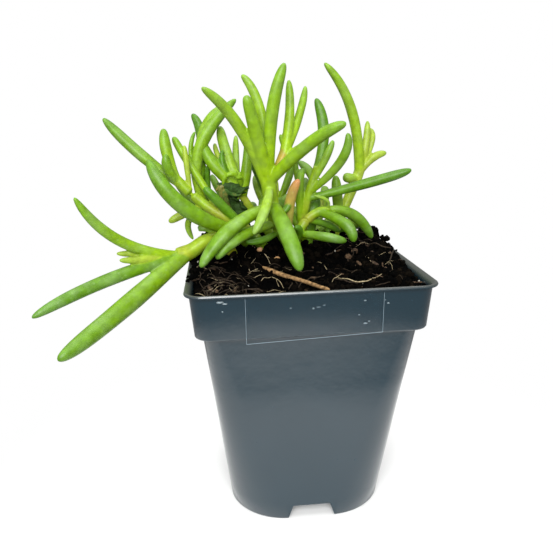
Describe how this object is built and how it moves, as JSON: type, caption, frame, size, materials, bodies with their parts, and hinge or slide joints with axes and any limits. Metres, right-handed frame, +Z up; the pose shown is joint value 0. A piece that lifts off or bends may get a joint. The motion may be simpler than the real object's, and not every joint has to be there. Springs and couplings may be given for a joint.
{
  "type": "potted purslane",
  "caption": "Finger-leaved succulent with fleshy green shoots in a square tapered plastic nursery pot of soil, standing on four corner feet.",
  "frame": {"origin": "middle of the box round the whole object, on the surface it stands on", "axes": "+Z up, +X to the right as seen from the pictured front, +Y to the back"},
  "size_m": [0.1444, 0.1032, 0.1767],
  "materials": {
    "pot": "moulded slate blue-grey plastic",
    "soil": "dark crumbly peat",
    "leaf": "smooth fleshy green",
    "twig": "dry bare bark"
  },
  "bodies": {
    "root": {"pot": "pot", "soil": "soil", "shoot_centre": "leaf", "shoot_left": "leaf", "shoot_front_left": "leaf", "shoot_back_left": "leaf", "shoot_back_centre": "leaf", "shoot_right_of_centre": "leaf", "shoot_right": "leaf", "shoot_front_right": "leaf", "shoot_rear_left": "leaf", "shoot_rear_right": "leaf", "shoot_rear_centre": "leaf", "twig": "twig"}
  },
  "joints": []
}
